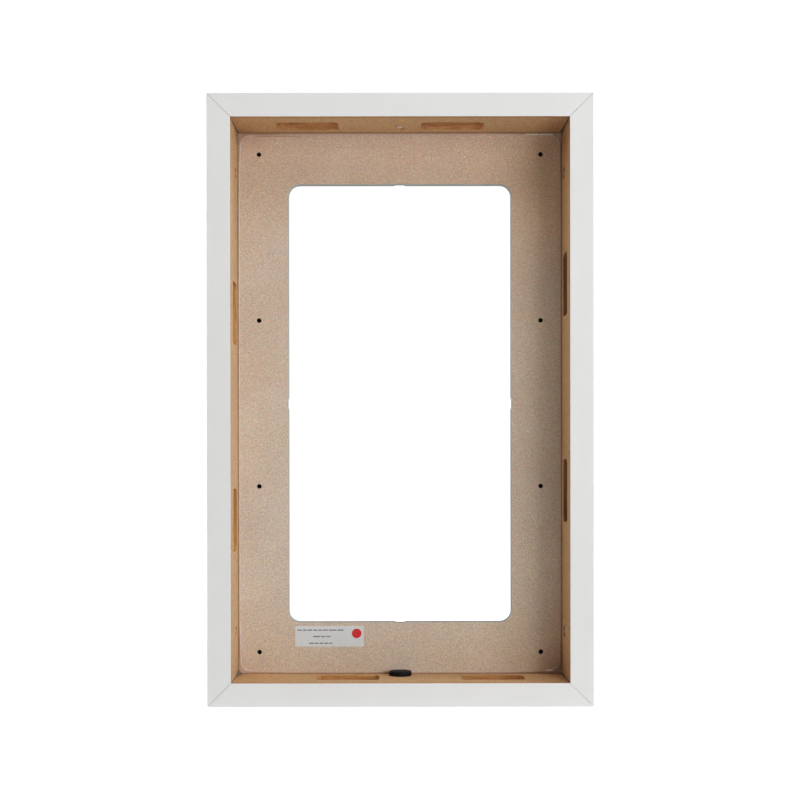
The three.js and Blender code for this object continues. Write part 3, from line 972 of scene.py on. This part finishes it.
def add_glue_smear(name, material, place, size, seed):
    """A thin smear of glue on the panel's raised middle, with a ragged outline and a low crown."""
    middle = Vector((place[0] * MM, MIDDLE_Z + place[1] * MM))
    width, height = size[0] * MM, size[1] * MM
    outline, crown = [], []
    for spoke in circle(1, 48):
        ragged = 1 + 0.45 * noise.noise(Vector((*(spoke * 2.2), seed)))
        reach = Vector((width / 2 * spoke.x, height / 2 * spoke.y)) * ragged
        outline.append(middle + reach)
        crown.append(middle + reach * 0.7)
    root, rim, top = FIELD_Y + 0.3 * MM, FIELD_Y - 0.05 * MM, FIELD_Y - 0.22 * MM
    rings = [upright_ring(outline, root), upright_ring(outline, rim), upright_ring(crown, top)]
    smear = new_piece(name, ring_solid(rings), material, sharp=60)
    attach(smear, "box")


# ---- Studio -----------------------------------------------------------------------------------
def add_floor():
    """A pale floor that also glows to the camera, so that only a faint shadow is left on it."""
    mesh = bmesh.new()
    bmesh.ops.create_grid(mesh, x_segments=4, y_segments=4, size=30)
    finish = Finish("pale_floor", base_color=(0.86, 0.86, 0.86), roughness=0.9)
    output = finish.tree.nodes["Material Output"]
    glow = finish.add("Emission", 0, {"Color": (1.0, 1.0, 1.0), "Strength": 1.3})
    seen = finish.add("LightPath", "Is Camera Ray", {})
    share = finish.math("MULTIPLY", seen, 0.8)
    mixed = finish.add("MixShader", 0, {0: share, 1: finish.surface.outputs[0], 2: glow})
    finish.tree.links.new(mixed, output.inputs["Surface"])
    floor = new_piece("floor", mesh, finish.material)
    floor.location.z = -0.4 * MM


def add_world(fill):
    """White to the camera, and a weaker even fill as a light."""
    world = bpy.data.worlds.new("studio")
    world.use_nodes = True
    tree = world.node_tree
    background = tree.nodes["Background"]
    background.inputs["Color"].default_value = (1, 1, 1, 1)
    path = tree.nodes.new("ShaderNodeLightPath")
    strength = tree.nodes.new("ShaderNodeMapRange")
    strength.inputs["To Min"].default_value = fill
    strength.inputs["To Max"].default_value = 1.05
    tree.links.new(path.outputs["Is Camera Ray"], strength.inputs["Value"])
    tree.links.new(strength.outputs["Result"], background.inputs["Strength"])
    bpy.context.scene.world = world


def add_softbox(name, turn, rise, distance, size, power):
    """A softbox of size (width, height) that faces the frame's middle. turn is its angle to the
    right of straight in front and rise its angle above level, both in degrees."""
    lamp = bpy.data.lights.new(name, "AREA")
    lamp.shape, lamp.energy = "RECTANGLE", power
    lamp.size, lamp.size_y = size
    light = bpy.data.objects.new(name, lamp)
    bpy.context.scene.collection.objects.link(light)
    a, e = math.radians(turn), math.radians(rise)
    away = Vector((math.sin(a) * math.cos(e), -math.cos(a) * math.cos(e), math.sin(e)))
    light.location = Vector((0, 0, MIDDLE_Z)) + away * distance
    light.rotation_mode = "QUATERNION"
    light.rotation_quaternion = away.to_track_quat("Z", "Y")


def add_camera():
    """Straight on, and a little below the frame's middle. It is level to a fraction of a degree."""
    lens = bpy.data.cameras.new("camera")
    lens.lens, lens.sensor_width = 65.1, 36
    lens.shift_x, lens.shift_y = 0.0091, 0.0964
    lens.clip_start, lens.clip_end = 0.05, 60
    camera = bpy.data.objects.new("camera", lens)
    bpy.context.scene.collection.objects.link(camera)
    camera.location = (-0.009, FRONT_Y - 1.541, MIDDLE_Z - 0.077)
    camera.rotation_euler = [math.radians(a) for a in (89.81, 0.07, -0.03)]
    bpy.context.scene.camera = camera


# ---- The scene --------------------------------------------------------------------------------
bpy.context.scene.view_settings.view_transform = "Standard"
add_camera()
add_world(fill=0.03)
add_softbox("key", turn=36, rise=6, distance=6, size=(3.9, 2.1), power=186)
add_softbox("overhead", turn=15, rise=52, distance=6, size=(1.7, 3.0), power=95)
add_softbox("right_side", turn=73, rise=45, distance=6, size=(1.2, 4.3), power=132)
add_softbox("left_side", turn=-74, rise=30, distance=6, size=(2.2, 4.2), power=78)
add_softbox("rear_right", turn=142, rise=15, distance=4, size=(2, 2), power=32)
add_softbox("rear_left", turn=-142, rise=15, distance=4, size=(2, 2), power=32)
add_floor()

for side in SIDES:
    add_facing(side)
    add_board(side)
    for screw_name, screw_place in board_screws(side).items():
        add_screw(screw_name, screw_place, side)
    add_glue(side)
add_back_panel()
add_cable_plug()
add_label()
for glue_smear in GLUE_SMEARS:
    add_glue_smear(*glue_smear)
for node_name, node in frame["nodes"].items():
    if node_name.startswith("dowel_"):
        node.data.materials.clear()
        node.data.materials.append(BEECH)
